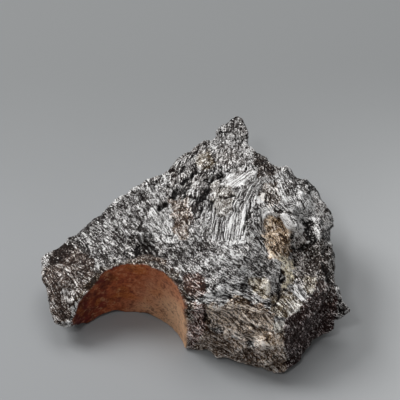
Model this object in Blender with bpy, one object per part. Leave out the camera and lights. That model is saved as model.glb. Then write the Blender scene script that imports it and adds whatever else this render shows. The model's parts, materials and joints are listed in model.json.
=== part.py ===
"""Raw nuummite: one loose lump of rough stone, broken across half of a core-drill hole.

Metres, +Z up. The stone lies on its flat cleavage face at Z = 0, with the drilled notch in its near
side (-Y), a thin arm to the left (-X) and the thick lobe to the right (+X). The origin is under the
middle of the whole stone.
"""
import bmesh
import bpy
from mathutils import Vector, noise
from mathutils.geometry import delaunay_2d_cdt

MM = 0.001

# The core-drill hole: a plain upright cylinder, of which the stone keeps a little less than half.
BORE_RADIUS = 12.5
BORE_CENTRE = (-14.5, -23.7)
BORE_SEGMENTS = 112
BORE_REACH = 45.0
GROUND_SIZE = 100.0

# Walls lean away from this upright line, and the belt lies part of the way down them.
STONE_AXIS = (4.0, -3.0)
BELT_SHARE = 0.52

# The edge of the upper face, anticlockwise from the toe of the arm, in millimetres:
# x, y, height, how far the foot leans out, how far the belt bulges out, height of the foot.
ARM_NEAR_EDGE = [
    (-30.8, -19.3, 6.6, -13.5, -3.0, 0.6),
    (-28.2, -19.4, 7.5, -12.5, -3.2, 0.4),
    (-21.0, -21.8, 9.0, -4.5, -2.0, 0.4),
    (-12.0, -21.0, 17.0, 1.0, 0.5, 0.5),
]
NEAR_LEDGE = [
    (-2.0, -20.2, 14.2, 0.4, 0.2, 0.6),
    (2.4, -21.2, 16.8, 2.6, -0.3, 0.4),
    (6.6, -21.8, 17.6, 3.4, 1.0, 0.3),
    (11.3, -22.3, 18.0, 4.8, 2.0, 0.5),
    (15.4, -23.4, 17.8, 4.4, 2.8, 0.4),
    (19.6, -23.4, 16.4, 3.2, 1.0, 0.8),
    (23.2, -21.4, 16.8, 0.4, -0.2, 1.0),
]
RIGHT_BLOCK = [
    (26.4, -18.2, 15.4, 0.6, -1.4, 1.0),
    (28.8, -15.6, 14.4, -1.0, -0.8, 1.8),
    (29.4, -12.6, 13.4, -1.2, 0.1, 1.4),
    (29.8, -10.6, 14.2, -2.0, 0.3, 1.0),
    (29.1, -7.4, 14.8, -1.6, 0.0, 1.8),
    (28.4, -3.8, 15.4, -1.4, 0.5, 1.2),
    (28.6, -1.8, 15.2, -2.2, 0.6, 1.6),
    (30.5, 0.6, 15.4, -3.4, 0.2, 2.4),
    (28.9, 1.6, 17.0, -1.4, 0.6, 1.4),
    (26.6, 4.6, 18.4, -0.6, 1.0, 1.0),
    (25.0, 8.0, 19.6, 0.4, 1.2, 0.8),
]
FAR_RIGHT_EDGE = [
    (21.6, 10.8, 20.2, 1.4, 1.5, 1.2),
    (17.4, 13.4, 20.0, 2.6, 1.0, 0.6),
    (14.4, 16.6, 19.4, 2.8, 0.8, 1.4),
    (12.5, 19.4, 18.9, 1.0, 1.6, 1.8),
]
KNOB = [
    (10.9, 22.4, 18.4, -1.6, 1.2, 2.2),
    (10.8, 26.0, 18.2, -4.6, 0.4, 2.6),
    (9.0, 28.4, 18.4, -6.4, 0.2, 2.8),
    (6.2, 28.2, 18.2, -6.4, 0.2, 2.4),
    (4.1, 25.8, 17.1, -3.8, 0.8, 2.0),
]
FAR_LEFT_EDGE = [
    (1.8, 22.2, 17.0, 0.2, 1.4, 1.2),
    (-1.2, 19.7, 17.5, 1.6, 0.8, 0.8),
    (-4.2, 17.8, 17.4, 2.4, 1.2, 1.6),
    (-7.2, 15.4, 16.3, 3.0, 0.6, 1.0),
    (-10.4, 13.0, 15.7, 3.2, 1.0, 0.8),
    (-14.2, 10.0, 14.9, 2.8, 1.4, 1.4),
    (-18.0, 6.3, 13.9, 2.6, 0.8, 1.8),
    (-22.6, 3.1, 12.6, 1.4, 1.0, 1.2),
    (-27.6, -0.3, 10.8, 0.4, 0.8, 2.0),
]
ARM_END = [
    (-31.4, -1.8, 9.2, -2.6, 0.4, 1.6),
    (-33.0, -4.6, 9.4, -4.6, 0.4, 1.4),
    (-32.8, -7.9, 9.4, -5.2, 0.2, 1.0),
    (-32.5, -12.8, 9.0, -9.2, -0.8, 0.8),
    (-32.1, -16.5, 7.1, -12.0, -2.0, 0.6),
]
RIM = ARM_NEAR_EDGE + NEAR_LEDGE + RIGHT_BLOCK + FAR_RIGHT_EDGE + KNOB + FAR_LEFT_EDGE + ARM_END

# Lines on the upper face, in millimetres: x, y, height. Crests and lips rise, gullies and floors dip.
KNOB_CREST = [(7.9, 26.4, 19.8), (7.5, 23.0, 19.2), (6.9, 18.6, 19.6)]
SPINE = [(-0.9, 16.0, 17.6), (6.6, 13.6, 20.6), (10.6, 11.0, 22.8), (12.6, 4.6, 24.6),
         (12.9, -2.0, 26.0), (11.0, -8.0, 25.6), (10.6, -14.0, 23.8)]
FIBRE_PLATE = [(6.0, 6.6, 23.4), (8.4, 0.4, 25.2), (8.2, -6.6, 25.6), (7.2, -12.4, 23.6)]
LEFT_GULLY = [(5.6, 10.8, 19.4), (2.2, 6.0, 18.8), (-0.6, -0.8, 18.2)]
GULLY_LIP = [(4.6, 4.6, 23.2), (1.8, -1.2, 22.4), (0.6, -7.0, 21.6)]
CREASE = [(-0.8, 12.2, 15.6), (-4.4, 8.0, 14.2), (-8.0, 4.2, 14.4)]
CREASE_BANK = [(-2.6, 6.6, 18.8), (-4.8, 1.6, 19.4), (-7.8, -3.4, 18.8)]
PATCH_LIP = [(14.2, -0.8, 25.4), (16.2, -2.6, 25.4), (18.8, -3.6, 24.8), (21.2, -6.2, 23.6)]
PATCH_FLOOR = [(14.6, -3.2, 22.6), (16.6, -5.0, 21.8), (18.6, -6.2, 21.2), (19.4, -8.6, 20.8)]
PATCH_FOOT = [(15.4, -9.6, 22.6), (18.8, -12.4, 21.4)]
RIGHT_GULLY = [(22.4, -3.4, 18.0), (22.4, -8.4, 15.6), (21.6, -13.6, 15.2), (18.6, -18.0, 16.2)]
BLOCK_CREST = [(24.6, 3.4, 21.8), (25.8, -0.6, 21.0), (25.8, -6.2, 19.4), (26.0, -10.8, 19.2),
               (24.6, -16.6, 18.4)]
SHOULDER = [(15.4, 9.2, 22.2), (19.8, 4.4, 22.8), (20.6, 0.2, 22.6)]
SWIRL = [(-2.0, -12.6, 18.6), (4.2, -15.8, 20.8), (9.6, -18.6, 20.2), (14.6, -19.2, 19.8)]
ARM_CREST = [(-14.6, -0.8, 16.8), (-19.0, -2.6, 15.4), (-24.4, -8.2, 13.8), (-28.0, -12.2, 11.6),
             (-28.6, -15.8, 9.2)]
ARM_HOLLOW = [(-13.6, -8.3, 15.2), (-9.2, -8.0, 15.4)]
BORE_BROW = [(-1.4, -18.2, 16.4), (-3.8, -14.4, 18.2), (-8.8, -10.7, 18.4), (-14.2, -10.2, 17.4),
             (-20.0, -11.6, 15.4), (-23.4, -14.4, 11.4), (-25.5, -17.0, 8.0)]
RIDGES = [KNOB_CREST, SPINE, FIBRE_PLATE, LEFT_GULLY, GULLY_LIP, CREASE, CREASE_BANK,
          PATCH_LIP, PATCH_FLOOR, PATCH_FOOT, RIGHT_GULLY, BLOCK_CREST, SHOULDER, SWIRL,
          ARM_CREST, ARM_HOLLOW, BORE_BROW]

# Where the wall does something else than lean straight out, in millimetres, by the x and y of the
# station: the belt of the arm is undercut, and a dark spur stands out of the right wall.
BELT_POINTS = {
    (-30.8, -19.3): (-29.0, -16.6, 3.6),
    (-28.2, -19.4): (-27.0, -17.4, 3.8),
    (-21.0, -21.8): (-22.8, -17.6, 4.0),
    (28.8, -15.6): (33.3, -19.0, 9.2),
    (-32.5, -12.8): (-31.2, -11.0, 4.6),
    (-32.1, -16.5): (-30.6, -14.2, 4.0),
}
FOOT_POINTS = {
    (-30.8, -19.3): (-26.8, -14.0, 0.3),
    (-28.2, -19.4): (-24.6, -14.6, 0.3),
    (-21.0, -21.8): (-21.2, -14.9, 0.3),
    (-32.5, -12.8): (-29.0, -8.4, 0.6),
    (-32.1, -16.5): (-28.4, -11.6, 0.4),
}

# The underside dips a little below the ground plane and is cut off flat there, all but its pits.
UNDERSIDE_INSET = 0.84
UNDERSIDE_DIP = -0.2

# The broken surface, in millimetres: the grain of the mesh, then the size and the depth of its lumps,
# its facets and the chips on them, and how far all of it stands out.
GRAIN = 0.85
LUMP_SIZE, LUMP_DEPTH = 9.0, 0.8
FACET_SIZE, FACET_DEPTH = 4.6, 0.9
CHIP_SIZE, CHIP_DEPTH = 2.2, 0.5
FACET_TILT = 1.2
OUTWARD = 0.35
KEPT_SHARE = 0.3


def leant_out(station, distance, height):
    """The point at this height, this far outside a station of the rim."""
    out = (Vector(station[:2]) - Vector(STONE_AXIS)).normalized() * distance
    return Vector((station[0] + out.x, station[1] + out.y, height))


def belt_point(station):
    height, lean, bulge, foot = station[2:]
    leant = leant_out(station, lean * BELT_SHARE + bulge, height + (foot - height) * BELT_SHARE)
    return Vector(BELT_POINTS.get(station[:2], leant))


def foot_point(station):
    leant = leant_out(station, station[3], station[5])
    return Vector(FOOT_POINTS.get(station[:2], leant))


def underside_point(station):
    foot = foot_point(station)
    x, y = (axis + (value - axis) * UNDERSIDE_INSET for axis, value in zip(STONE_AXIS, foot.xy))
    return Vector((x, y, UNDERSIDE_DIP))


def add_cap(mesh, boundary, lines, face_up):
    """Fills a closed run of vertices, keeping the edges along each of the lines inside it."""
    inside = [[mesh.verts.new(point) for point in line] for line in lines]
    verts = boundary + [vert for line in inside for vert in line]
    index = {vert: number for number, vert in enumerate(verts)}
    edges = [(index[a], index[b]) for line in inside for a, b in zip(line, line[1:])]
    outline = [list(range(len(boundary)))]
    plan = [vert.co.xy for vert in verts]
    _, _, faces, source, _, _ = delaunay_2d_cdt(plan, edges, outline, 1, 1e-4)
    for face in faces:
        corners = [verts[source[number][0]] for number in face]
        mesh.faces.new(corners if face_up else corners[::-1])


def bridge(mesh, upper, lower):
    """A band of triangles between two rings of vertices that match one to one."""
    for i in range(len(upper)):
        j = (i + 1) % len(upper)
        mesh.faces.new((upper[j], upper[i], lower[i]))
        mesh.faces.new((upper[j], lower[i], lower[j]))


def block_out(mesh):
    """The stone as large flat facets: upper face, two bands of wall and the underside."""
    rings = [[mesh.verts.new(point(station)) for station in RIM]
             for point in (lambda station: station[:3], belt_point, foot_point, underside_point)]
    add_cap(mesh, rings[0], RIDGES, face_up=True)
    for upper, lower in zip(rings, rings[1:]):
        bridge(mesh, upper, lower)
    add_cap(mesh, rings[-1], [], face_up=False)


def mosaic(point, size, depth):
    """Flat facets of about this size, each at its own height and tilt."""
    place = point / size
    centre = noise.voronoi(place)[1][0]
    tilt = (noise.cell_vector(centre) - Vector((0.5, 0.5, 0.5))) * FACET_TILT
    return (noise.cell(centre) - 0.5 + (place - centre).dot(tilt)) * depth


def roughness(point):
    """How far the broken surface stands out at a point, in millimetres."""
    lump = noise.fractal(point / LUMP_SIZE, 0.9, 2.1, 3) * LUMP_DEPTH
    facets = mosaic(point, FACET_SIZE, FACET_DEPTH) + mosaic(point, CHIP_SIZE, CHIP_DEPTH)
    return lump + facets + OUTWARD


def stone_material():
    material = bpy.data.materials.new("nuummite")
    material.use_nodes = True
    shader = material.node_tree.nodes["Principled BSDF"]
    shader.inputs["Base Color"].default_value = (0.075, 0.072, 0.070, 1)
    shader.inputs["Roughness"].default_value = 0.38
    shader.inputs["Metallic"].default_value = 0.25
    return material


def make_stone():
    mesh = bmesh.new()
    block_out(mesh)
    bmesh.ops.scale(mesh, vec=(MM, MM, MM), verts=mesh.verts)
    data = bpy.data.meshes.new("nuummite")
    mesh.to_mesh(data)
    mesh.free()
    data.materials.append(stone_material())
    stone = bpy.data.objects.new("nuummite", data)
    bpy.context.scene.collection.objects.link(stone)
    return stone


def make_even(stone):
    """Small even faces all over, without folds."""
    modifier = stone.modifiers.new("grain", "REMESH")
    modifier.mode = "VOXEL"
    modifier.voxel_size = GRAIN * MM
    bpy.context.view_layer.objects.active = stone
    bpy.ops.object.modifier_apply(modifier=modifier.name)


def roughen(stone):
    mesh = bmesh.new()
    mesh.from_mesh(stone.data)
    moves = [vert.normal * roughness(vert.co / MM) * MM for vert in mesh.verts]
    for vert, move in zip(mesh.verts, moves):
        vert.co += move
    mesh.to_mesh(stone.data)
    mesh.free()


def as_cutter(cutter, name):
    cutter.name = name
    cutter.hide_render = True
    cutter.display_type = "WIRE"
    return cutter


def make_drill():
    """The cylinder that the core drill took out."""
    bpy.ops.mesh.primitive_cylinder_add(
        vertices=BORE_SEGMENTS, radius=BORE_RADIUS * MM, depth=BORE_REACH * MM,
        location=(BORE_CENTRE[0] * MM, BORE_CENTRE[1] * MM, BORE_REACH * MM / 4))
    return as_cutter(bpy.context.object, "core_drill")


def make_ground():
    """Everything below Z = 0, which leaves the flat cleavage face."""
    bpy.ops.mesh.primitive_cube_add(size=GROUND_SIZE * MM, location=(0, 0, -GROUND_SIZE * MM / 2))
    return as_cutter(bpy.context.object, "ground")


def flatten_facets(stone):
    """Keeps the triangles that the facets need and drops the rest."""
    modifier = stone.modifiers.new("facets", "DECIMATE")
    modifier.ratio = KEPT_SHARE


def cut(stone, cutter):
    modifier = stone.modifiers.new(cutter.name, "BOOLEAN")
    modifier.operation = "DIFFERENCE"
    modifier.object = cutter


def main():
    for obj in list(bpy.data.objects):
        bpy.data.objects.remove(obj)
    stone = make_stone()
    make_even(stone)
    roughen(stone)
    make_even(stone)
    flatten_facets(stone)
    cut(stone, make_drill())
    cut(stone, make_ground())


main()
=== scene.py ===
# Raw nuummite: a rough lump of fibrous stone with half of a drilled hole in its near side.
import json
import math

import bpy
import numpy as np
from mathutils import Matrix, Vector, kdtree, noise

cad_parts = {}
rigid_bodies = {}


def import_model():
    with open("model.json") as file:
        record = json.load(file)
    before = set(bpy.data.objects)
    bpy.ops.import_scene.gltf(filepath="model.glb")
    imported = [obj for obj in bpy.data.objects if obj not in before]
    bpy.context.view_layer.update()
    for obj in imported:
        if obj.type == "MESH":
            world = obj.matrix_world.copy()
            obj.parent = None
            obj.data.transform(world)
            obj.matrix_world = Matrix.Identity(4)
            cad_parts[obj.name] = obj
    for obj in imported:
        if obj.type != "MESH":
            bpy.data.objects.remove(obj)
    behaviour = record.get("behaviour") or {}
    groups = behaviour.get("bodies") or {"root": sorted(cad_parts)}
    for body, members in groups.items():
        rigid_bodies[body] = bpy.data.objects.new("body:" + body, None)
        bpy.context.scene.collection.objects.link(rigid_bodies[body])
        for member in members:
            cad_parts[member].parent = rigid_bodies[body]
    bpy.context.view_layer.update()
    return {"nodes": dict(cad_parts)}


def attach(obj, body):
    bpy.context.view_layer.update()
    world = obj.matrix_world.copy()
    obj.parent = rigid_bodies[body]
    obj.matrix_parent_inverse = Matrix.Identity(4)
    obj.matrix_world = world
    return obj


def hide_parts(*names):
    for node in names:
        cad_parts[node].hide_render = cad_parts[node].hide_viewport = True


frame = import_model()
print("frame loaded")

mm = 0.001

# The camera looks down on the stone from its near side. Places on the upper face are given as it
# sees them: pixels to the right of and below the top left corner of its view.
view = {
    "elevation": 52,
    "distance": 0.7,
    "sensor": 36,
    "pixelsPerMetre": 4580,
    "imageSize": 400,
    "aimAcross": 0.82 * mm,
    "aimUp": 15.13 * mm,
    "aimAway": -9.5 * mm,
}
tilt = math.radians(view["elevation"])
seenRight = Vector((1, 0, 0))
seenUp = Vector((0, math.sin(tilt), math.cos(tilt)))
seenAway = Vector((0, math.cos(tilt), -math.sin(tilt)))
aimedAt = (seenRight * view["aimAcross"] + seenUp * view["aimUp"]
           - seenAway * view["aimAway"])
cameraPlace = aimedAt - seenAway * view["distance"]


def selectOnly(piece):
    bpy.ops.object.select_all(action="DESELECT")
    piece.select_set(True)
    bpy.context.view_layer.objects.active = piece


def applyModifier(piece, kind, **settings):
    modifier = piece.modifiers.new(kind.title(), kind)
    for name, value in settings.items():
        setattr(modifier, name, value)
    selectOnly(piece)
    bpy.ops.object.modifier_apply(modifier=modifier.name)


def fade(value, start, end):
    # 0 at start, 1 at end, smooth between
    share = np.clip((value - start) / (end - start), 0, 1)
    return share * share * (3 - 2 * share)


def chance(*numbers):
    # an even random share from 0 to 1 for each row of whole numbers
    mixed = sum(number * factor for number, factor in zip(numbers, (127.1, 311.7, 74.7)))
    return np.mod(np.sin(mixed) * 43758.5453, 1.0)


def noiseAt(points, size, seed=0):
    shift = Vector((seed * 17.3, seed * 5.1, seed * 9.7))
    return np.array([noise.noise(Vector(point) / size + shift) for point in points])


def linearColour(red, green, blue):
    # screen values of 0 to 255 as the shader's linear ones
    shares = [value / 255 for value in (red, green, blue)]
    return [share / 12.92 if share < 0.04 else ((share + 0.055) / 1.055) ** 2.4
            for share in shares]


# The stone's mesh
meshWork = {
    "grain": 0.308,  # mm, the size of its faces
    "easing": 0.5,
    "easingRounds": 2,
    "plainShare": 0.15,  # share of the faces kept where the stone is flat underneath
    "plainSlope": -0.9,  # a face points down at least this much to count as flat
    "calmRounds": 25,
    "lastEasing": 0.35,
    "creaseAngle": 32,  # degrees past which an edge between two faces stays crisp
}
bore = {
    "centre": (-14.5, -23.7),
    "radius": 12.5,
}


def copyOfNode(name, newName):
    piece = bpy.data.objects.new(newName, frame["nodes"][name].data.copy())
    bpy.context.scene.collection.objects.link(piece)
    piece.data.materials.clear()
    selectOnly(piece)
    bpy.ops.object.mode_set(mode="EDIT")
    bpy.ops.mesh.select_all(action="SELECT")
    bpy.ops.mesh.remove_doubles(threshold=0.01 * mm)
    bpy.ops.object.mode_set(mode="OBJECT")
    return piece


stone = copyOfNode("nuummite", "fibrousStone")
applyModifier(stone, "REMESH", mode="VOXEL", voxel_size=meshWork["grain"] * mm)
applyModifier(stone, "SMOOTH", factor=meshWork["easing"], iterations=meshWork["easingRounds"])
mesh = stone.data


def thinFlatBase():
    # fewer faces where nothing but the flat underside is
    bpy.ops.object.mode_set(mode="EDIT")
    bpy.ops.mesh.select_all(action="DESELECT")
    bpy.ops.object.mode_set(mode="OBJECT")
    for face in mesh.polygons:
        face.select = (face.normal.z < meshWork["plainSlope"]
                       and face.center.z < meshWork["grain"] * mm)
    bpy.ops.object.mode_set(mode="EDIT")
    bpy.ops.mesh.select_mode(type="FACE")
    bpy.ops.mesh.select_less()
    bpy.ops.mesh.decimate(ratio=meshWork["plainShare"])
    bpy.ops.object.mode_set(mode="OBJECT")


thinFlatBase()
print("stone meshed:", sum(len(face.vertices) - 2 for face in mesh.polygons), "triangles")


def readField(holder, field, width=1, kind=int):
    values = np.zeros(len(holder) * width, kind)
    holder.foreach_get(field, values)
    return values


def readPoints():
    return readField(mesh.vertices, "co", 3, float).reshape(-1, 3) / mm


def readNormals():
    return readField(mesh.vertex_normals, "vector", 3, float).reshape(-1, 3)


def writePoints(points):
    mesh.vertices.foreach_set("co", (points * mm).ravel())
    mesh.update()


def neighbourMean(values, rounds):
    # each vertex takes its neighbours' mean, again and again
    edges = readField(mesh.edges, "vertices", 2)
    first, second = edges.reshape(-1, 2).T
    count = np.bincount(edges, minlength=len(values))[:, None]
    for _ in range(rounds):
        total = np.zeros_like(values)
        for axis in range(values.shape[1]):
            total[:, axis] = (np.bincount(first, values[second, axis], len(values))
                              + np.bincount(second, values[first, axis], len(values)))
        values = total / count
    return values


def inView(points):
    # where the camera sees each point, in pixels
    offset = points * mm - np.array(cameraPlace)
    size = view["pixelsPerMetre"] * view["distance"] / (offset @ np.array(seenAway))
    middle = view["imageSize"] / 2
    return np.stack([middle + size * (offset @ np.array(seenRight)),
                     middle - size * (offset @ np.array(seenUp))], axis=1)


# Stains tint the grey stone: how much of its red, green and blue each lets through.
stains = {
    "rust": (1.5, 1.0, 0.58),
    "brownOchre": (1.52, 1.00, 0.47),
    "olive": (1.30, 1.07, 0.56),
    "deepRed": (1.80, 0.93, 0.62),
    "warmBrown": (1.45, 0.98, 0.64),
    "darkBrown": (1.95, 0.90, 0.60),
    "umber": (1.52, 1.02, 0.58),
    "wine": (1.55, 0.95, 0.90),
    "duskBrown": (1.25, 1.0, 0.82),
    "steel": (0.955, 1.0, 1.025),
}


marks = {}


def mark(name, tone, *outline, **settings):
    marks[name] = dict(settings, tone=tone, outline=list(outline))


# What the stone's upper face shows, from the broadest faces to the smallest marks. Each has its
# tone (darker or brighter) and its outline in the view, and then, where they differ from 0, its
# contrast (calmer or livelier), grain (from fibres to crumbs), silk (longer fibres), calm (evened
# out) and lift in mm. It may be crisp, reach around the stone's edge, be one bundle whose fibres
# go their own way, in degrees, or have a stain, with its strength.
mark("armFar", -0.15, (70, 236), (99, 214), (125, 195), (150, 181), (168, 168), (168, 200),
     (142, 232), (112, 264), (90, 258), (75, 250), grain=0.3, silk=0.3, calm=0.4, steel=1)
mark("armEdge", -3.4, (47, 268), (52, 250), (60, 241), (73, 243), (76, 252), (74, 264), (62, 270),
     (52, 275), contrast=0.2, grain=0.6, around=True, duskBrown=0.8)
mark("armRim", -1.7, (64, 240), (86, 222), (110, 205), (113, 211), (90, 228), (68, 246),
     contrast=0.1, grain=0.6)
mark("armToe", -0.7, (40, 272), (58, 262), (78, 246), (92, 262), (102, 277), (86, 291), (75, 305),
     (66, 324), (50, 324), (46, 300), contrast=-0.5, grain=0.55, around=True, duskBrown=1)
mark("toeLight", -0.1, (76, 258), (88, 262), (91, 278), (84, 296), (76, 296), (73, 276),
     contrast=-0.5, grain=0.55, duskBrown=0.9)
mark("toeGleam", 1.1, (63, 291), (72, 290), (76, 300), (68, 306), (62, 300))
mark("armBright", 1.05, (136, 228), (156, 204), (170, 198), (176, 212), (192, 236), (184, 246),
     (160, 246), (148, 240), grain=0.2, silk=0.45, calm=0.5, fibres=-56, steel=1)
mark("armDark", -1, (128, 216), (138, 218), (148, 226), (154, 240), (157, 250), (148, 252),
     (138, 240), (132, 230), contrast=-0.3, steel=1)
# painted shade in the hollow pocket above the drilled rim
mark("rimPocketShade", -2.75, (134, 250), (140, 246), (156, 246), (162, 256), (150, 261), (138, 260),
     lift=-0.2)
mark("rustPatch", 0.33, (170, 202), (188, 196), (193, 210), (186, 240), (177, 240), (174, 218),
     grain=0.4, rust=1)
mark("farLeft", -0.63, (160, 176), (190, 150), (206, 138), (214, 150), (203, 172), (192, 188),
     (176, 196), (164, 190), contrast=0.15, grain=0.6)
mark("armCrest", 0.5, (132, 194), (150, 182), (168, 172), (172, 186), (168, 198), (150, 198),
     (136, 206), grain=0.4)
mark("khaki", 0.2, (197, 154), (211, 150), (216, 163), (206, 174), (196, 170), contrast=-0.6,
     grain=0.8, olive=0.8)
mark("greyBank", 0.12, (190, 178), (206, 172), (214, 176), (206, 192), (192, 197), contrast=-0.5,
     grain=0.4, calm=0.6)
mark("belowKnob", 0.3, (205, 136), (220, 129), (250, 138), (263, 156), (262, 168), (246, 172),
     (222, 176), (213, 160), grain=0.6)
mark("knob", -0.8, (216, 131), (217, 120), (233, 113), (252, 120), (251, 141), (232, 136),
     grain=0.7)
mark("knobFoot", 1.6, (226, 140), (236, 136), (254, 142), (264, 154), (258, 160), (244, 154),
     (232, 150), grain=0.6)
mark("knobShoulder", -0.6, (210, 137), (214, 126), (220, 117), (226, 119), (223, 134), lift=0.6,
     around=True)
mark("topRight", 0.4, (256, 166), (275, 168), (300, 180), (314, 200), (306, 214), (286, 212),
     (262, 204), (252, 186), contrast=0.2, grain=0.2, silk=0.6, calm=0.5, steel=1)
mark("topShade", -2.6, (255, 150), (268, 154), (278, 168), (272, 180), (260, 176), (254, 162),
     contrast=0.2, grain=0.5, warmBrown=0.3)
mark("edgeShade", 1, (266, 152), (296, 168), (314, 184), (336, 216), (338, 232), (330, 232),
     (326, 214), (308, 190), (292, 178), (270, 166), contrast=0.5, grain=0.5)
# the far rim, turned from the light: painted shade
mark("farRimShade", -2.5, (286, 170), (300, 175), (314, 183), (324, 199), (336, 214), (338, 224),
     (334, 234), (328, 246), (325, 240), (330, 230), (331, 221), (324, 208), (311, 188), (298, 179),
     contrast=0.2, grain=0.5, around=True)
mark("rightRim", -0.6, (327, 246), (338, 240), (342, 292), (330, 290), (327, 262), contrast=0.4,
     grain=0.6, around=True)
mark("topGleam", 7, (298, 192), (303, 191), (308, 201), (309, 207), (305, 207), (300, 200),
     contrast=-0.2, lift=0.2, crisp=1, fibres=-62)
mark("topLines", 1.5, (270, 179), (274, 180), (286, 199), (290, 208), (284, 205), (276, 192),
     silk=0.8, crisp=0.6, fibres=-56, steel=1)
mark("topStreak", 0.8, (275, 180), (279, 180), (287, 197), (283, 198))
mark("edgeLight", 2.1, (296, 196), (312, 194), (324, 206), (322, 216), (308, 214), (298, 206),
     contrast=0.4, grain=0.5)
mark("brownBand", -0.2, (262, 186), (276, 184), (282, 200), (270, 205), (262, 200), brownOchre=0.5)
mark("whiteSpot", 7, (258, 196), (264, 194), (265, 200), (261, 204), (258, 202), crisp=1)
# a smooth silky facet: its bright tone is partly its own and partly painted sheen
mark("plate", 2.2, (226, 174), (236, 172), (258, 170), (254, 180), (240, 185), (231, 190),
     (226, 187), contrast=-0.7, silk=1, calm=0.3, lift=0.2, crisp=1, fibres=35, steel=1)
mark("plateBrow", 0.6, (226, 166), (250, 162), (252, 168), (238, 173), (225, 177), contrast=-0.2)
mark("fibrePlate", 0.1, (199, 218), (206, 200), (224, 194), (240, 188), (252, 190), (257, 204),
     (250, 225), (247, 243), (226, 246), (206, 242), (198, 230), contrast=0.1, silk=1, calm=0.85,
     fibres=78, steel=1)
mark("plateFoot", 0, (186, 186), (198, 188), (210, 200), (213, 226), (211, 244), (200, 246),
     (195, 228), (194, 210), contrast=0.1, grain=0.2, silk=0.4, calm=0.5, steel=1)
mark("greyPlate", 0.15, (213, 186), (222, 183), (231, 191), (237, 193), (233, 212), (222, 217),
     (215, 210), (210, 201), contrast=-0.7, grain=0.3, silk=0.3, calm=0.8, fibres=76, olive=0.3)
mark("underPlate", -0.5, (236, 187), (252, 180), (254, 192), (248, 204), (240, 202), (234, 212),
     (233, 196), silk=0.8, calm=0.5, fibres=62, steel=1)
mark("streakBright", 2.7, (242, 204), (248, 203), (247, 210), (246, 218), (243, 229), (241, 239),
     (235, 239), (236, 229), (238, 218), (240, 210), contrast=-0.2, silk=1, calm=0.4, lift=0.1,
     crisp=0.8, fibres=79, steel=1)
mark("dusk", -0.6, (248, 206), (262, 204), (263, 222), (258, 240), (249, 238), contrast=0.3,
     grain=0.5, steel=1)
mark("patchBrow", 3.4, (260, 210), (268, 205), (281, 212), (280, 219), (268, 220), (261, 220),
     contrast=0.7, grain=0.5)
mark("ochrePatch", 1.3, (266, 218), (278, 217), (284, 223), (292, 235), (292, 252), (285, 257),
     (278, 260), (270, 257), (265, 247), (264, 233), (263, 226), contrast=-0.25, grain=0.6,
     calm=0.5, lift=-0.15, brownOchre=2.9)
mark("ochreFoot", -0.7, (268, 235), (280, 238), (290, 240), (292, 252), (286, 258), (276, 256),
     (268, 248), contrast=0.1, grain=0.6, brownOchre=3)
mark("ochreGleam", 3.4, (268, 251), (272, 252), (279, 259), (277, 262), (270, 257), crisp=0.8)
mark("patchLip", 4.6, (279, 213), (285, 212), (292, 219), (294, 227), (289, 231), (282, 221),
     silk=0.6, calm=0.1, lift=0.15, crisp=1, fibres=-46)
mark("rightGully", 2.75, (290, 206), (306, 200), (318, 204), (326, 216), (320, 238), (298, 250),
     (293, 236), contrast=0.8, grain=0.6)
mark("gullyGleam", -0.65, (317, 222), (327, 218), (329, 228), (320, 236), contrast=0.4, grain=0.5)
mark("rightCorner", 0.2, (326, 213), (334, 212), (340, 220), (338, 227), (330, 227), (327, 221),
     lift=0.35, around=True)
mark("rightNotch", -0.8, (324, 230), (331, 227), (338, 229), (338, 243), (331, 246), (325, 240),
     grain=0.6, lift=-0.8, around=True)
mark("recess", 2.3, (293, 230), (300, 228), (306, 240), (304, 250), (296, 250), contrast=0.9,
     grain=0.6, umber=0.5)
# painted shade down the gully
mark("gullyShade", -2.4, (306, 222), (316, 223), (313, 236), (318, 241), (308, 248), (301, 252),
     (299, 247), (304, 241), contrast=-0.2)
mark("gullyGlint", 4, (305, 241), (309, 241), (309, 244), (305, 244), crisp=1)
mark("lipGlint", 4, (293, 229), (297, 230), (298, 235), (294, 234), crisp=1)
mark("cornerGleam", 2, (326, 214), (331, 218), (331, 225), (326, 230), (322, 226), crisp=0.7)
mark("lowGlint", 4.5, (277, 277), (281, 278), (280, 283), (276, 282), crisp=1)
mark("rightBlock", -1.35, (294, 250), (318, 240), (330, 246), (334, 270), (332, 286), (318, 292),
     (300, 288), (292, 268), contrast=1, grain=0.7, umber=0.4)
mark("blockShade", -2.1, (312, 258), (330, 254), (334, 272), (332, 288), (318, 292), (304, 286),
     (306, 268), contrast=0.9, grain=0.7, umber=0.4)
mark("blockLight", 0.2, (294, 250), (302, 246), (306, 258), (302, 272), (294, 270), contrast=0.9,
     grain=0.7, umber=0.4)
mark("midBright", 1.2, (216, 242), (242, 238), (244, 260), (230, 265), (220, 254), contrast=0.1,
     grain=0.35, silk=0.1, calm=0.5, steel=1)
mark("arcs", -0.12, (160, 248), (190, 240), (218, 250), (245, 268), (262, 290), (248, 298),
     (215, 286), (186, 272), (168, 262), contrast=0.25, grain=0.35, silk=0.3, calm=0.6, steel=1)
mark("arcsLeft", -0.65, (160, 246), (190, 240), (206, 248), (206, 262), (192, 270), (172, 262),
     grain=0.35, silk=0.3, calm=0.5, steel=0.8)
mark("arcsRight", 1.1, (206, 262), (222, 262), (250, 268), (264, 274), (262, 290), (248, 294),
     (240, 280), (216, 274), contrast=0.2, grain=0.35, silk=0.3, calm=0.5, steel=1)
mark("redShade", -2, (182, 278), (204, 276), (208, 292), (196, 298), (186, 294), contrast=-0.4,
     deepRed=1)
mark("lowArcs", 1.2, (192, 299), (210, 288), (232, 286), (262, 298), (250, 301), (226, 296),
     (206, 302), contrast=0.4, calm=0.3)
mark("ochreBand", -0.35, (222, 300), (236, 298), (252, 302), (248, 310), (226, 309), contrast=0.2,
     grain=0.6, brownOchre=2.2)
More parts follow.
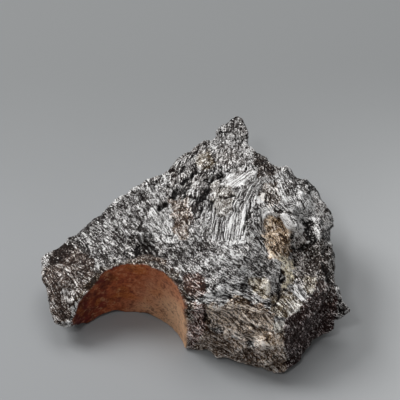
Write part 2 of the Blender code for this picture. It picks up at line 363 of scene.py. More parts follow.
mark("oliveMid", 1.3, (249, 278), (266, 276), (270, 290), (266, 298), (252, 292), grain=0.8,
     olive=2.1)
mark("oliveHigh", 3.2, (282, 258), (292, 260), (293, 288), (284, 288), contrast=0.5, grain=0.8,
     olive=3.2)
mark("oliveRight", -0.05, (302, 278), (316, 278), (319, 292), (306, 296), grain=0.8, olive=1.2)
mark("blockFace", 0.08, (272, 298), (288, 290), (303, 292), (306, 306), (292, 318), (278, 318),
     (270, 308), contrast=-0.45, silk=0.5, calm=0.5, fibres=-50, olive=0.95)
mark("blockStripes", 0.8, (290, 288), (299, 285), (308, 296), (305, 302), (297, 300), silk=1,
     fibres=-50, steel=1)
mark("frontWall", 0.72, (203, 306), (225, 306), (262, 304), (276, 320), (287, 322), (286, 348),
     (266, 350), (230, 334), (203, 324), contrast=0.7, grain=0.2, silk=0.6, calm=0.5, umber=2.6)
# painted highlights along the front wall's two ridges
mark("frontRidgeHighlight", 2.6, (210, 320), (230, 328), (250, 337), (268, 345), (273, 349), (264, 350),
     (246, 342), (226, 333), (210, 325), contrast=0.4, lift=0.25, crisp=0.6, umber=1.8)
mark("upperRidgeHighlight", 2.5, (236, 316), (252, 322), (270, 328), (284, 330), (284, 334), (262, 330),
     (238, 321), contrast=0.5, lift=0.2, crisp=0.6, umber=1.8)
mark("oliveLow", 0.2, (262, 330), (282, 334), (286, 346), (270, 348), contrast=-0.4, grain=0.5,
     calm=0.6, brownOchre=1.8)
mark("frontFacet", 1.3, (271, 322), (284, 320), (287, 330), (276, 333), contrast=-0.5, calm=0.6,
     crisp=0.6, olive=0.9)
mark("frontLow", -0.5, (188, 330), (203, 324), (230, 335), (266, 351), (286, 349), (292, 372),
     (250, 376), (192, 356), contrast=-0.3, grain=0.5, around=True, umber=1.5)
mark("frontLeft", -0.35, (184, 300), (204, 304), (205, 326), (192, 350), (186, 330), contrast=0.4,
     grain=0.4, darkBrown=1.3)
mark("cornerLight", 1.5, (289, 306), (298, 300), (304, 306), (299, 316), (290, 319), contrast=-0.3,
     grain=0.4, olive=0.6)
# the right face, turned from the light: painted shade over its own wine stain
mark("shadedRightFace", -3.65, (285, 322), (300, 310), (306, 298), (320, 291), (338, 292), (336, 344),
     (292, 374), (285, 350), contrast=1.2, grain=0.5, around=True, wine=1.35)
mark("spurShade", -2.6, (318, 284), (330, 280), (337, 292), (331, 305), (320, 298), contrast=-0.3,
     darkBrown=0.3)
mark("rimTop", -1.2, (124, 261), (134, 257), (150, 256), (163, 258), (173, 266), (180, 278),
     (176, 279), (168, 268), (158, 263), (146, 262), (130, 266), grain=0.5, umber=0.9)
mark("spur", -0.4, (322, 282), (334, 284), (352, 308), (346, 324), (326, 302), contrast=-0.2,
     grain=0.6)

# How ragged and how soft the marks' borders are.
markBorder = {
    "sweepSize": 2.2,  # mm
    "sweep": 5,  # pixels by which a border strays in long sweeps
    "jagSize": 0.8,
    "jag": 2.5,  # and in short jags
    "crispCut": 0.75,  # share of that which a crisp border loses
    "softness": 1.6,  # pixels
    "crispSofter": 1.0,  # and how many fewer where it is crisp
    "ends": (-0.4, 0.05),  # how much a face looks at the camera where a mark fades out
    "aroundEnds": (-0.7, -0.4),
}


def lineDistance(line):
    # how far each point is from a line in the view, in pixels
    line = np.array(line, float)
    nearest = np.full(len(seen), 1e9)
    for start, end in zip(line, line[1:]):
        way = end - start
        share = np.clip(((seen - start) @ way) / (way @ way), 0, 1)
        distance = np.linalg.norm(seen - (start + share[:, None] * way), axis=1)
        nearest = np.minimum(nearest, distance)
    return nearest


def insideShare(outline, crisp=0.0, around=False, **others):
    # 1 well inside an outline of the view, 0 outside, with a ragged or a crisp border. It fades
    # out past the stone's edge, further on for a mark that reaches around it
    closed = outline + outline[:1]
    inside = np.zeros(len(seen), bool)
    for start, end in zip(closed, closed[1:]):
        crosses = (start[1] > seen[:, 1]) != (end[1] > seen[:, 1])
        rise = (end[1] - start[1]) or 1e-9
        side = start[0] + (end[0] - start[0]) * (seen[:, 1] - start[1]) / rise
        inside ^= crosses & (seen[:, 0] < side)
    distance = lineDistance(closed)
    depth = (np.where(inside, distance, -distance)
             + waver * (1 - markBorder["crispCut"] * crisp))
    soft = markBorder["softness"] - markBorder["crispSofter"] * crisp
    ends = markBorder["aroundEnds" if around else "ends"]
    return fade(depth, -soft, soft) * fade(facing, *ends)


def spread(setting, start=0.0):
    # one setting of all the marks over the stone, later marks over earlier ones
    values = np.full(len(seen), float(start))
    for name, entry in marks.items():
        share = markShares[name]
        values = values * (1 - share) + entry.get(setting, 0.0) * share
    return values


points = readPoints()
waver = (noiseAt(points, markBorder["sweepSize"], 8) * markBorder["sweep"]
         + noiseAt(points, markBorder["jagSize"], 9) * markBorder["jag"])
seen = inView(points)
facing = -neighbourMean(readNormals(), 12) @ np.array(seenAway)
markShares = {name: insideShare(**entry) for name, entry in marks.items()}
fromBore = points[:, :2] - np.array(bore["centre"])
boreDistance = np.linalg.norm(fromBore, axis=1)
fromWall = boreDistance - bore["radius"]
calm = spread("calm", 0.15) * fade(fromWall, 0.6, 1.8)
calm *= fade(points[:, 2], 0.8, 2.5) * (0.25 + 0.75 * fade(facing, 0.2, 0.55))
points += (neighbourMean(points, meshWork["calmRounds"]) - points) * calm[:, None]
writePoints(points)
print("surface marks laid out")

normals = readNormals()
broadNormals = neighbourMean(normals, 10)
broadNormals /= np.linalg.norm(broadNormals, axis=1)[:, None]
inward = -(normals[:, :2] * fromBore).sum(axis=1) / boreDistance
boreWall = fade(fromWall, 0.75, 0.3) * fade(inward, 0.35, 0.8)
flatBase = fade(points[:, 2], 0.7, 0.25) * fade(-normals[:, 2], 0.6, 0.9)
grain = spread("grain", 0.3) * 0.75
silk = spread("silk", 0.15)

# Which way the fibres run: where in the view, and the way the streaks go there, in degrees
# anticlockwise from straight across.
grainGuides = [
    (60, 250, -50), (62, 300, -60), (85, 262, -48), (100, 225, -45), (120, 215, -45),
    (110, 240, -45), (130, 235, -48), (150, 205, -50), (150, 225, -55), (165, 225, -60),
    (175, 240, -58), (185, 225, -62), (180, 200, 70), (190, 182, 58), (202, 190, 62),
    (208, 205, 72), (200, 165, 60), (215, 142, 78), (235, 150, 85), (235, 126, 80), (215, 225, 80),
    (228, 215, 80), (241, 220, 75), (238, 182, 38), (250, 195, 76), (255, 225, -70),
    (275, 180, -50), (290, 192, -55), (305, 195, -60), (270, 165, -45), (318, 210, -60),
    (325, 235, -70), (305, 225, -60), (288, 222, -42), (277, 235, -50), (277, 255, -55),
    (262, 255, -60), (230, 250, -50), (205, 250, -42), (180, 258, -38), (215, 268, -36),
    (240, 275, -38), (200, 280, -30), (225, 290, -22), (250, 290, -35), (265, 285, -45),
    (215, 303, -12), (245, 303, -14), (200, 312, -40), (225, 320, -50), (250, 330, -53),
    (275, 335, -55), (240, 350, -30), (215, 340, -30), (270, 358, -25), (290, 305, -60),
    (310, 285, -50), (310, 260, -65), (325, 262, -75), (305, 335, -60), (320, 315, -60),
    (338, 308, -55), (140, 252, -40),
]
layout = {
    "seed": 11,
    "spacing": 3.4,  # mm between the middles of two bundles, at least
    "wider": 1.6,  # times as far apart where the stone is purely fibrous
    "silkWider": 1.2,  # and as much again where it is silky
    "tries": 9000,
    "stretch": 2.2,  # how much longer than wide a bundle is
    "squash": 1.5,  # and how much wider than deep
    "candidates": 8,  # bundles nearby that may own a point
    "turn": 7,  # degrees by which a bundle strays from the guides
    "reach": 9.0,  # pixels over which the guides blend
    "ragged": 0.8,
    "raggedSize": 1.6,
    "chamfer": 0.35,  # mm over which the face of one bundle meets the next
    "flatness": 0.8,
    "mostShift": 0.8,
}


def streakAngle(place):
    # blends the nearest guides. Twice the angle is blended, because a streak has no front end
    guides = np.array(grainGuides, float)
    distance = np.linalg.norm(guides[:, :2] - place, axis=1)
    weight = np.exp(-(distance - distance.min()) / layout["reach"]) / (distance + 4.0)
    double = np.radians(guides[:, 2]) * 2
    return 0.5 * math.atan2((weight * np.sin(double)).sum(), (weight * np.cos(double)).sum())


def fibreFrame(outward, angle):
    # along the fibres, across them and outwards, where the streaks go at an angle in the view
    outward = Vector(outward).normalized()
    streak = seenRight * math.cos(angle) + seenUp * math.sin(angle)
    along = outward.cross(seenAway.cross(streak)).normalized()
    return [along, outward.cross(along), outward]


def bundleFrames():
    # scattered middles, each with its own frame
    draw = np.random.default_rng(layout["seed"])
    seeds = []
    taken = np.zeros((0, 4))
    for number in draw.integers(0, len(points), layout["tries"]):
        wider = (layout["wider"] - 1) * fade(grain[number], 0.3, 0.0)
        gap = layout["spacing"] * (1 + wider + layout["silkWider"] * silk[number])
        away = ((taken[:, :3] - points[number]) ** 2).sum(axis=1)
        if (away > np.minimum(taken[:, 3], gap) ** 2).all():
            seeds.append(number)
            taken = np.vstack([taken, [*points[number], gap]])
    turns = np.radians(draw.normal(0, layout["turn"], len(seeds)))
    frames = [fibreFrame(broadNormals[number], streakAngle(seen[number]) + turn)
              for number, turn in zip(seeds, turns)]
    return taken[:, :3], np.array(frames, float)


middles, frames = bundleFrames()
print("fibre bundles:", len(middles))


def nearestBundles():
    # each vertex's own bundle, the next one, and how far the border between them is. A bundle
    # reaches further along its fibres than across them
    tree = kdtree.KDTree(len(middles))
    for index, place in enumerate(middles):
        tree.insert(place, index)
    tree.balance()
    ragged = [noiseAt(points, layout["raggedSize"], seed) for seed in (1, 2, 3)]
    places = points + np.stack(ragged, axis=1) * layout["ragged"]
    near = np.array([[number for _, number, _ in tree.find_n(place, layout["candidates"])]
                     for place in places])
    offset = np.einsum("nkij,nkj->nki", frames[near], places[:, None, :] - middles[near])
    size = np.sqrt((offset[:, :, 0] / layout["stretch"]) ** 2 + offset[:, :, 1] ** 2
                   + (offset[:, :, 2] * layout["squash"]) ** 2)
    own, following = np.argsort(size, axis=1)[:, :2].T
    rows = np.arange(len(points))
    return near[rows, own], near[rows, following], size[rows, following] - size[rows, own]


bundle, nextBundle, borderGap = nearestBundles()
for name, entry in marks.items():
    if "fibres" in entry:
        own = markShares[name] > 0.5
        ownFrame = fibreFrame(broadNormals[own].mean(axis=0), math.radians(entry["fibres"]))
        middles = np.vstack([middles, points[own].mean(axis=0)])
        frames = np.concatenate([frames, [ownFrame]])
        bundle[own] = len(middles) - 1
        borderGap[own] = np.maximum(borderGap[own], markShares[name][own] * 2 - 1)


def inBundle(places, number):
    return np.einsum("nij,nj->ni", frames[number], places - middles[number])


def flattenBundles(points):
    # each bundle ends in a nearly flat face of its own, as where the stone has split
    count = np.maximum(np.bincount(bundle, minlength=len(middles)), 1)
    sums = [np.bincount(bundle, points[:, axis], len(middles)) for axis in range(3)]
    centres = np.stack(sums, 1) / count[:, None]
    shift = 0
    share = 0.5 + 0.5 * fade(borderGap, 0, layout["chamfer"])
    for number, part in ((bundle, share), (nextBundle, 1 - share)):
        outward = frames[number][:, 2]
        gap = ((centres[number] - points) * outward).sum(axis=1)
        gap = np.tanh(gap / layout["mostShift"]) * layout["mostShift"]
        alike = fade((broadNormals * outward).sum(axis=1), 0.55, 0.85)
        shift = shift + outward * (gap * part * alike)[:, None]
    rim = 0.3 + 0.7 * fade(np.abs(facing), 0.1, 0.4)
    flatness = layout["flatness"] * rim * (1 - boreWall) * (1 - flatBase)
    return points + shift * flatness[:, None]


points = flattenBundles(points)
print("bundles laid out")

# The relief, in mm
relief = {
    "bend": 0.7,  # how far the ribs wander
    "bendScale": (0.35, 0.1, 0),
    "ribs": (0.85, 6.0, 0.20),  # width, length and depth
    "threads": (0.6, 3.0, 0.08),
    "stepLength": 3.2,
    "stepRise": 0.85,  # share of its length on which a step rises
    "stepHeight": 0.17,
    "blockStep": 0.16,
    "borderWidth": 0.4,
    "crumbSize": 0.95,
    "crumbStep": 0.24,
    "crumbGroove": 0.38,
    "grainCalms": 0.7,  # how much of the ribs is lost in grain and in silk
    "silkCalms": 0.8,
}


def ribs(local, number, width, length, seed):
    # random heights on lines along the fibres, straight between one line and the next
    bend = noiseAt(local * np.array(relief["bendScale"]) + number[:, None] * 3.7, 1.0)
    across = (local[:, 1] + bend * relief["bend"]) / width
    row = np.floor(across)
    side = across - row
    height = 0
    for step, share in ((0, 1 - side), (1, side)):
        along = local[:, 0] / length + chance(number, row + step, seed)
        cell = np.floor(along)
        end = fade(along - cell, 0, 1)
        key = row + step + seed * 57
        height = height + share * (chance(number, key, cell) * (1 - end)
                                   + chance(number, key, cell + 1) * end)
    return height - 0.5


def brokenEnds(local, number):
    # laths that rise slowly and end in a short drop
    row = np.floor(local[:, 1] / relief["ribs"][0] / 1.5)
    run = local[:, 0] / relief["stepLength"] + chance(number, row, 5)
    share = run - np.floor(run)
    rise = relief["stepRise"]
    return np.minimum(share / rise, (1 - share) / (1 - rise)) - 0.5


def crumbs():
    # close-set grains of different heights with grooves between them
    height = np.zeros(len(points))
    for index, place in enumerate(points / relief["crumbSize"]):
        gaps, grains = noise.voronoi(Vector(place))
        step = math.sin(grains[0].x * 12.9 + grains[0].y * 78.2 + grains[0].z * 37.7)
        groove = min(gaps[1] - gaps[0], 0.3)
        height[index] = step * relief["crumbStep"] + groove * relief["crumbGroove"]
    return height


def fibreRelief():
    local = inBundle(points, bundle)
    inner = fade(borderGap, 0, relief["borderWidth"])
    strands = brokenEnds(local, bundle) * relief["stepHeight"]
    for seed, kind in ((1, "ribs"), (2, "threads")):
        width, length, depth = relief[kind]
        strands = strands + ribs(local, bundle, width, length, seed) * depth
    strands = strands * (1 - relief["grainCalms"] * grain) * (1 - relief["silkCalms"] * silk)
    block = (chance(bundle, 21) - 0.5) * 2 * relief["blockStep"]
    return (block + strands) * inner + crumbs() * (0.15 + 0.75 * grain)


# Cracks and gullies: the line they follow in the view, then half their width in pixels and their
# depth in mm.
cracks = [
    ([(220, 174), (216, 179), (212, 185), (207, 191), (203, 198)], 2.6, 0.9),
    ([(213, 181), (206, 188), (200, 196), (196, 205)], 2.4, 0.4),
    ([(203, 198), (207, 201), (212, 199), (215, 194), (225, 197), (232, 194)], 1.3, 0.6),
    ([(212, 200), (208, 210), (205, 216)], 1.4, 0.6),
    ([(204, 205), (200, 217), (192, 224)], 1.3, 0.6),
    ([(211, 211), (210, 222)], 1.1, 0.5),
    ([(160, 210), (166, 206), (171, 199), (177, 188), (186, 181), (191, 176)], 2.0, 0.9),
    ([(195, 166), (192, 176), (188, 186), (182, 195)], 2.4, 0.5),
    ([(168, 236), (177, 241), (188, 243)], 2.4, 0.35),
    ([(126, 226), (138, 228), (150, 230)], 2.4, 0.3),
    ([(289, 172), (296, 180), (304, 186)], 2.4, 0.4),
    ([(157, 181), (166, 186), (172, 188)], 1.3, 0.5),
    ([(195, 164), (196, 174)], 1.4, 0.5),
    ([(180, 196), (191, 195), (199, 199)], 1.3, 0.5),
    ([(231, 190), (241, 185), (252, 179)], 1.2, 0.5),
    ([(251, 203), (248, 216), (243, 238)], 1.3, 0.5),
    ([(291, 232), (293, 244), (295, 251), (294, 268)], 1.2, 0.5),
    ([(282, 270), (283, 278), (280, 288), (280, 296), (275, 304)], 1.3, 0.6),
    ([(296, 214), (304, 222), (309, 230)], 1.5, 0.45),
    ([(316, 241), (308, 246), (300, 251)], 1.7, 0.6),
    ([(186, 300), (206, 299), (226, 297), (250, 301), (268, 304)], 1.3, 0.4),
    ([(204, 304), (205, 316), (203, 326)], 1.3, 0.5),
    ([(322, 262), (328, 280), (331, 292)], 1.8, 0.6),
    ([(266, 206), (276, 210), (282, 212)], 1.2, 0.5),
    ([(232, 318), (250, 324), (268, 331), (282, 333)], 1.2, 0.4),
    ([(208, 320), (230, 331), (252, 341), (266, 346)], 1.2, 0.45),
]


def carveCracks():
    depth = np.zeros(len(points))
    for line, width, deep in cracks:
        depth += deep * np.exp(-((lineDistance(line) + waver * 0.45) / width) ** 2)
    return depth * fade(facing, 0.05, 0.3) * np.clip(0.95 + noiseAt(points, 1.2, 31) * 1.3, 0, 1)


rough = (1 - boreWall) * (1 - 0.75 * flatBase)
crackDepth = carveCracks()
height = (fibreRelief() + spread("lift") - crackDepth) * rough
points = points + broadNormals * height[:, None]
points += (neighbourMean(points, 1) - points) * (meshWork["lastEasing"] * rough)[:, None]
points[:, 2] = np.maximum(points[:, 2], 0)
writePoints(points)
print("relief carved")

# What the finish reads
# the darker left, foot and shade colours and the lighter right colour partly paint shade and light
boreColours = {
    "left": (94, 26, 18),
    "middle": (178, 94, 58),
    "right": (222, 178, 142),
    "foot": (46, 20, 20),
    "ochre": (200, 118, 54),
    "wine": (124, 42, 38),
    "shade": (62, 14, 8),
    "rim": (60, 32, 22),
    "pink": (150, 84, 76),
}
# The stained border of stone above the drilled wall
boreBorder = {
    "tint": (1.35, 1.05, 0.60),
    "width": 2.2,  # mm
    "darkness": 2.4,
}
patina = {
    "toneSize": 5.0,  # mm, clouds of brighter and darker stone
    "toneDepth": 0.4,
    "bundleDepth": 1.1,
    "stainSize": 7.0,
    "stainDepth": 0.35,
    "contrast": 1.68,  # how far apart the stone's brighter and darker grains are
}


def mixInto(colours, share, colour):
    return colours * (1 - share[:, None]) + np.array(colour) * share[:, None]


seen = inView(points)
tone = spread("tone")
tone += noiseAt(points, patina["toneSize"], 12) * patina["toneDepth"]
tone += (chance(bundle, 33) - 0.5) * patina["bundleDepth"] * (1 - 0.7 * grain) * (1 - 0.6 * silk)


def patches(size, seed, start, end):
    return fade(noiseAt(points, size, seed), start, end)


stainColour = np.tile(np.array(stains["warmBrown"]), (len(points), 1))
stainShare = patches(patina["stainSize"], 14, 0.05, 0.55) * patina["stainDepth"]
for name, entry in marks.items():
    share = markShares[name]
    for stain in entry.keys() & stains.keys():
        stainColour = mixInto(stainColour, np.clip(share * 2, 0, 1), stains[stain])
        stainShare = stainShare * (1 - share) + entry[stain] * share

boreAngle = np.degrees(np.arctan2(fromBore[:, 1], fromBore[:, 0]))  # from 0 right to 180 left
blotch = noiseAt(points, 3.2, 18)
above = points[:, 2]
# The drilled wall's colours, layer over layer: its own reddish browns with ochre, wine and pink
# mottles, and painted light and shade, darker on the left, under the rim and at the foot, lighter
# on the right
boreLayers = [
    ("middle", fade(boreAngle + blotch * 30, 142, 90)),
    ("ochre", fade(blotch, 0.05, 0.4) * 0.4),
    ("wine", patches(2.2, 19, 0.05, 0.4) * fade(boreAngle, 70, 120) * 0.7),
    ("shade", fade(boreAngle + blotch * 30, 98, 128) * fade(above, 5, 13) * 0.75),
    ("right", fade(boreAngle + above * 2.4 + blotch * 14, 114, 46)),
    ("foot", fade(boreAngle, 132, 160) * fade(above, 8, 3)),
    ("middle", fade(boreAngle, 75, 30) * fade(above, 9, 14) * 0.5),
    ("pink", patches(0.9, 41, 0.1, 0.4) * fade(boreAngle, 110, 140) * 0.5),
    ("shade", patches(1.1, 42, 0.1, 0.35) * fade(boreAngle, 80, 110) * 0.5),
    ("rim", fade(normals[:, 2], 0.15, 0.5) * 0.85),
]
boreColour = np.tile(np.array(linearColour(*boreColours["left"])), (len(points), 1))
for name, share in boreLayers:
    boreColour = mixInto(boreColour, share, linearColour(*boreColours[name]))

border = fade(fromWall, boreBorder["width"], 0.4) * (1 - boreWall)
border *= ((1 - 0.7 * fade(boreAngle, 128, 148)) * fade(above, 8, 11)
           * np.clip(0.75 + noiseAt(points, 1.4, 15), 0, 1))
stainColour = mixInto(stainColour, np.clip(border * 2, 0, 1), boreBorder["tint"])
stainShare = np.maximum(stainShare, border)
tone -= border * boreBorder["darkness"]

hollow = ((neighbourMean(points, 5) - points) * readNormals()).sum(axis=1)
broadHollow = ((neighbourMean(points, 60) - points) * broadNormals).sum(axis=1)


def storeAttribute(name, kind, domain, values):
    attribute = mesh.attributes.new(name, kind, domain)
    field = {"FLOAT": "value", "FLOAT_VECTOR": "vector", "FLOAT_COLOR": "color"}[kind]
    attribute.data.foreach_set(field, np.ascontiguousarray(values, np.float32).ravel())


def fibreCoordinates():
    # along and across the fibres of the face's own bundle, in mm, and a number for the bundle
    corners = readField(mesh.loops, "vertex_index")
    starts = readField(mesh.polygons, "loop_start")
    owner = np.repeat(bundle[corners[starts]], readField(mesh.polygons, "loop_total"))
    offset = inBundle(points[corners], owner)
    offset[:, 2] = owner * 3.17
    return offset


liveliness = patina["contrast"] + spread("contrast")
liveliness *= 0.75 + 0.25 * fade(facing, -0.3, 0.1)
storedValues = {
    "tone": tone, "liveliness": liveliness, "crumb": grain, "silk": silk, "hollow": hollow,
    "broadHollow": broadHollow, "crack": crackDepth * rough, "stainShare": stainShare,
    "boreWall": boreWall,
}
storeAttribute("fibre", "FLOAT_VECTOR", "CORNER", fibreCoordinates())
for name, values in storedValues.items():
    storeAttribute(name, "FLOAT", "POINT", values)
for name, colours in (("stainColour", stainColour), ("boreColour", boreColour)):
    storeAttribute(name, "FLOAT_COLOR", "POINT", np.hstack([colours, np.ones((len(points), 1))]))
print("finish prepared")


# Materials
def operator(operation, swapped=False):
    def apply(self, other):
        pair = (other, self) if swapped else (self, other)
        return self.paint.maths(operation, *pair)
    return apply


class Wire:
    # one output socket, which can be used in sums
    def __init__(self, paint, socket):
        self.paint = paint
        self.socket = socket

    __add__ = operator("ADD")
    __radd__ = operator("ADD", True)
    __sub__ = operator("SUBTRACT")
    __rsub__ = operator("SUBTRACT", True)
    __mul__ = operator("MULTIPLY")
    __rmul__ = operator("MULTIPLY", True)
    __truediv__ = operator("DIVIDE")


class Paint:
    # one material and its nodes
    def __init__(self, name):
        self.material = bpy.data.materials.new(name)
        self.material.use_nodes = True
        self.tree = self.material.node_tree
        self.shader = self.tree.nodes["Principled BSDF"]

    def plug(self, socket, value):
        if isinstance(value, Wire):
            self.tree.links.new(value.socket, socket)
        elif hasattr(socket.default_value, "__len__") and len(value) < len(socket.default_value):
            socket.default_value = [*value, 1]
        else:
            socket.default_value = value

    def add(self, kind, settings=None, sockets=None, output=0):
        node = self.tree.nodes.new("ShaderNode" + kind)
        for name, value in (settings or {}).items():
            if name == "stops":
                for number, (place, colour) in enumerate(value):
                    stops = node.color_ramp.elements
                    stop = stops[number] if number < len(stops) else stops.new(place)
                    stop.position = place
                    stop.color = [*colour, 1]
            else:
                setattr(node, name, value)
        for name, value in (sockets or {}).items():
            self.plug(node.inputs[name], value)
        return Wire(self, node.outputs[output])

    def maths(self, operation, *values):
        return self.add("Math", {"operation": operation}, dict(enumerate(values)))

    def fade(self, value, start, end):
        return self.add("MapRange", {"interpolation_type": "SMOOTHSTEP"},
                        {"Value": value, "From Min": start, "From Max": end})

    def mix(self, share, first, second, blend="MIX"):
        return self.add("Mix", {"data_type": "RGBA", "blend_type": blend},
                        {0: share, 6: first, 7: second}, 2)

    def attribute(self, name, output):
        return self.add("Attribute", {"attribute_name": name}, output=output)

    def noise(self, vector, scale=1.0, detail=2, roughness=0.6, stretch=(1, 1, 1)):
        stretched = self.add("VectorMath", {"operation": "MULTIPLY"}, {0: vector, 1: stretch})
        return self.add("TexNoise", None, {"Vector": stretched, "Scale": scale, "Detail": detail,
                                           "Roughness": roughness}) - 0.5

    def random(self, first, second, third):
        spot = self.add("CombineXYZ", None, {0: first, 1: second, 2: third})
        return self.add("TexWhiteNoise", {"noise_dimensions": "3D"}, {"Vector": spot})

    def finish(self, sockets):
        for name, value in sockets.items():
            self.plug(self.shader.inputs[name], value)
        return self.material


# The stone from its darkest to its brightest: how bright, in steps of its spread, and its colour.
stoneShades = [
    (-2.4, (9, 6, 6)),
    (-1.5, (22, 16, 15)),
    (-0.67, (56, 49, 46)),
    (0.0, (98, 92, 89)),
    (0.67, (144, 140, 137)),
    (1.6, (214, 213, 211)),
    (2.4, (246, 245, 244)),
]
finish = {
    "spread": 6.0,
    "hollowShade": 4.0,  # how much darker hollows and cracks are, as painted shade, and slits and joints, as dark gaps
    "broadHollowShade": 0.6,
    "cracks": 1.6,
    "slits": 1.7,
    "joints": 0.9,
    # the near-black colour painted into the cracks: painted shade
    "crackShadow": linearColour(14, 12, 12),
    "stainDepth": (0.009, 0.006, 0.005),  # what a stain leaves of its colour in dark grains
    "boreSpeck": linearColour(70, 28, 26),
    "boreBand": linearColour(206, 160, 118),
    "bumpDepth": 1.0 * mm,
    "roughness": 0.46,
    "gleamRoughness": 0.34,
    "specular": 0.12,
}
# The splinters of each kind: their width and length in mm, and a seed.
splinters = {
    "splinter": (0.23, 1.2, 8),
    "lath": (0.62, 3.4, 3),
    "blade": (1.7, 8.0, 5),
    "longSplinter": (0.22, 4.5, 11),
    "shortSplinter": (0.28, 0.8, 21),
}
# How much each pattern brightens the stone, or darkens it below 0, by the kind of surface.
textures = {
    "fibrous": {"splinter": 3.6, "lath": 0.5, "blade": 0.6, "hairs": 10.5, "strands": 0.8,
                "gleam": 1.0, "shade": -0.9, "grains": 10.5},
    "silky": {"longSplinter": 4.0, "lath": 0.3, "blade": 0.4, "longHairs": 13.0,
              "strands": 0.5, "grains": 8.5},
    "crumbly": {"shortSplinter": 2.6, "smallChips": 1.4, "largeChips": 1.3, "grains": 10.5,
                "crumbs": 1.6, "blockJoints": -1.6},
}


def makeStonePaint():
    paint = Paint("fibrousNuummite")
    color, vector, factor = 0, 1, 2
    fibre = paint.attribute("fibre", vector)
    tone, liveliness, crumb, silk, hollow, broadHollow, crack, stainShare, boreWall = (
        paint.attribute(name, factor) for name in storedValues)
    stainColour = paint.attribute("stainColour", color)
    boreColour = paint.attribute("boreColour", color)
    place = paint.add("TexCoord", output=3)
    along, across, number = (paint.add("SeparateXYZ", None, {0: fibre}, axis) for axis in range(3))

    def flecks(width, length, seed):
        # splinters side by side, each with its own brightness
        bend = paint.noise(fibre, 1.0, 2, 0.5, (0.35, 0.5, 1)) * 1.6
        row = paint.maths("FLOOR", (across + bend) / width)
        cell = paint.maths("FLOOR", along / length + paint.random(row, number, seed) * 7.0)
        return paint.random(row, cell, number + seed)

    def slits(width=1.15, length=3.2):
        # thin dark gaps between some of the strands
        bend = paint.noise(fibre, 1.0, 2, 0.5, (0.3, 0.4, 1)) * 1.8
        lane = (across + bend) / width
        row = paint.maths("FLOOR", lane)
        cell = paint.maths("FLOOR", along / length + paint.random(row, number, 6) * 7.0)
        there = paint.fade(paint.random(row, cell, number + 9), 0.62, 0.7)
        return paint.fade(paint.maths("ABSOLUTE", lane - row - 0.5), 0.36, 0.46) * there

    def blocks(size, shift, settings=None, output=0):
        # a pattern of angular blocks of a size in mm
        moved = paint.add("VectorMath", {"operation": "ADD"}, {0: place, 1: (shift, shift, shift)})
        return moved, paint.add("TexVoronoi", settings,
                                {"Vector": moved, "Scale": 1 / (size * mm)}, output)

    def joints(size, shift):
        # thin dark lines between blocks
        moved, gap = blocks(size, shift, {"feature": "DISTANCE_TO_EDGE"})
        there = paint.fade(paint.noise(moved, 450, 2, 0.55), -0.06, 0.06)
        return paint.fade(gap, 0.13, 0.05) * there

    def chips(size, shift):
        # blocks, each with its own brightness
        return paint.add("SeparateColor", None, {"Color": blocks(size, shift, None, 1)[1]})

    flecksOf = {name: flecks(*sizes) for name, sizes in splinters.items()}
    hairs = paint.noise(fibre, stretch=(1.5, 4.7, 1))
    strands = paint.noise(fibre, stretch=(0.22, 1.5, 1))
    grains = paint.noise(place, 4600)
    crumbs = paint.noise(place, 1250)
    patterns = {name: fleck - 0.5 for name, fleck in flecksOf.items()}
    patterns.update(
        hairs=hairs, strands=strands, grains=grains, crumbs=crumbs,
        longHairs=paint.noise(fibre, stretch=(0.2, 4.4, 1)),
        gleam=paint.fade(flecksOf["splinter"], 0.86, 0.93),
        shade=paint.fade(flecksOf["splinter"], 0.14, 0.08),
        smallChips=chips(0.3, 0.3) - 0.5, largeChips=chips(1.0, 0.7) - 0.5,
        blockJoints=joints(1.2, 0.9))
    fibrous, silky, crumbly = (
        sum(patterns[name] * weight for name, weight in texture.items())
        for texture in textures.values())
    fibrous = fibrous + silk * (silky - fibrous)
    texture = (fibrous + crumb * (crumbly - fibrous) - slits() * (1 - crumb) * finish["slits"]
               - joints(2.6, 0.2) * (1 - silk) * finish["joints"])
    # hollows, broad hollows and cracks are darkened: painted shade
    level = (texture * liveliness + tone - hollow * finish["hollowShade"]
             - broadHollow * finish["broadHollowShade"]
             - paint.fade(crack, 0.08, 0.5) * finish["cracks"])

    stops = [(0.5 + step / finish["spread"], linearColour(*shade))
             for step, shade in stoneShades]
    colour = paint.add("ValToRGB", {"stops": stops}, {0: level / finish["spread"] + 0.5})
    silver = paint.fade(level, 0.3, 1.8)
    spots = paint.fade(paint.noise(place, 1400), -0.12, 0.12)
    deep = paint.mix(1.0, stainColour, finish["stainDepth"], "MULTIPLY")
    stained = paint.mix(1.0, paint.mix(1.0, colour, stainColour, "MULTIPLY"), deep, "ADD")
    clean = paint.fade(level, -0.4, 1.3) * 0.88
    colour = paint.mix(stainShare * (0.55 + spots * 0.65) * (1 - clean), colour, stained)
    # cracks take a near-black colour: painted shade
    colour = paint.mix(paint.fade(crack, 0.15, 0.6) * 0.8, colour, finish["crackShadow"])

    bands = paint.noise(place, 1.0, 3, 0.6, (160, 160, 900))
    mottle = paint.noise(place, 700, 3, 0.65)
    speckle = paint.noise(place, 2000, 3, 0.7)
    wall = boreColour
    for share, colourName in (
            (paint.fade(bands, 0.02, 0.25) * 0.16, "boreBand"),
            (paint.fade(mottle, -0.02, 0.2) * 0.6, "boreSpeck"),
            (paint.fade(speckle, 0.0, 0.2) * 0.6, "boreSpeck"),
            (paint.fade(speckle + mottle, -0.03, -0.28) * 0.5, "boreBand")):
        wall = paint.mix(share, wall, finish[colourName])
    colour = paint.mix(boreWall, colour, wall)

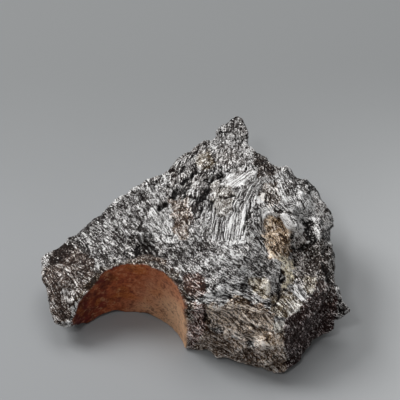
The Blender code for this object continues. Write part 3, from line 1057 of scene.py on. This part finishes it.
    bare = 1 - boreWall
    ridges = ((hairs * 0.23 + strands * 0.08) * (1 - crumb * 0.8)
              + (grains * 0.10 + crumbs * 0.2) * crumb)
    height = ridges * bare * liveliness + speckle * 0.04 * boreWall
    bump = paint.add("Bump", None, {"Height": height, "Distance": finish["bumpDepth"],
                                    "Strength": 1.0})
    gloss = finish["roughness"] - finish["gleamRoughness"]
    return paint.finish({
        "Base Color": colour,
        "Metallic": silver * bare * 0.25 + 0.05,
        "Roughness": finish["roughness"] - silver * bare * gloss + boreWall * 0.2,
        "Specular IOR Level": finish["specular"],
        "Normal": bump})


mesh.materials.append(makeStonePaint())
selectOnly(stone)
bpy.ops.object.shade_smooth_by_angle(angle=math.radians(meshWork["creaseAngle"]))
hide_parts("nuummite")
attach(stone, "root")
print("stone finished")

# Floor, lights and camera
room = {
    "floorSize": 3.0,
    "floorColour": linearColour(152, 154, 156),
    # the floor is painted darker away from the camera and lighter to the right: painted shade and
    # painted light
    "farPaintedShade": linearColour(136, 138, 139),
    "rightPaintedLight": linearColour(176, 178, 179),
    "sky": 0.20,
    "lightAim": (0, 0, 0.01),
}
# Each light: where it stands in metres, its size and its power.
softboxes = {
    "key": ((-0.55, 0.30, 0.75), 0.40, 6.0),
    "top": ((0.05, 0.45, 0.95), 0.60, 4.0),
    "glint": ((-0.20, -0.35, 0.80), 0.12, 1.0),
}


def makeFloor():
    bpy.ops.object.select_all(action="DESELECT")
    bpy.ops.mesh.primitive_plane_add(size=room["floorSize"], location=(0, 0, -0.05 * mm))
    floor = bpy.context.object
    floor.name = "floor"
    bpy.ops.object.transform_apply(location=True)
    paint = Paint("paleFloor")
    place = paint.add("TexCoord", output=3)
    across, away = (paint.add("SeparateXYZ", None, {0: place}, axis) for axis in range(2))
    mottle = paint.noise(place, 30, 3, 0.5) * 0.01
    colour = room["floorColour"]
    # painted light to the right and painted shade away from the camera
    for distance, reach, side in ((across, 0.07, "rightPaintedLight"), (away, 0.06, "farPaintedShade")):
        colour = paint.mix(paint.fade(distance + mottle, 0.0, reach), colour, room[side])
    floor.data.materials.append(paint.finish({"Base Color": colour, "Roughness": 0.8}))


def makeSoftbox(name, place, size, power):
    bpy.ops.object.light_add(type="AREA", location=place)
    light = bpy.context.object
    light.name = name
    light.data.size = size
    light.data.energy = power
    aim = Vector(room["lightAim"]) - Vector(place)
    light.rotation_euler = aim.to_track_quat("-Z", "Y").to_euler()


def makeCamera():
    sensorPerPixel = view["sensor"] / view["imageSize"]
    bpy.ops.object.camera_add(location=cameraPlace)
    camera = bpy.context.object
    camera.rotation_euler = Matrix((seenRight, seenUp, -seenAway)).transposed().to_euler()
    camera.data.sensor_width = view["sensor"]
    camera.data.lens = view["pixelsPerMetre"] * view["distance"] * sensorPerPixel
    bpy.context.scene.camera = camera


def makeSky():
    world = bpy.data.worlds.new("studio")
    world.use_nodes = True
    world.node_tree.nodes["Background"].inputs["Color"].default_value = [room["sky"]] * 3 + [1]
    bpy.context.scene.world = world


makeFloor()
for name, settings in softboxes.items():
    makeSoftbox(name, *settings)
makeCamera()
makeSky()
bpy.context.scene.view_settings.view_transform = "Standard"
print("studio ready")
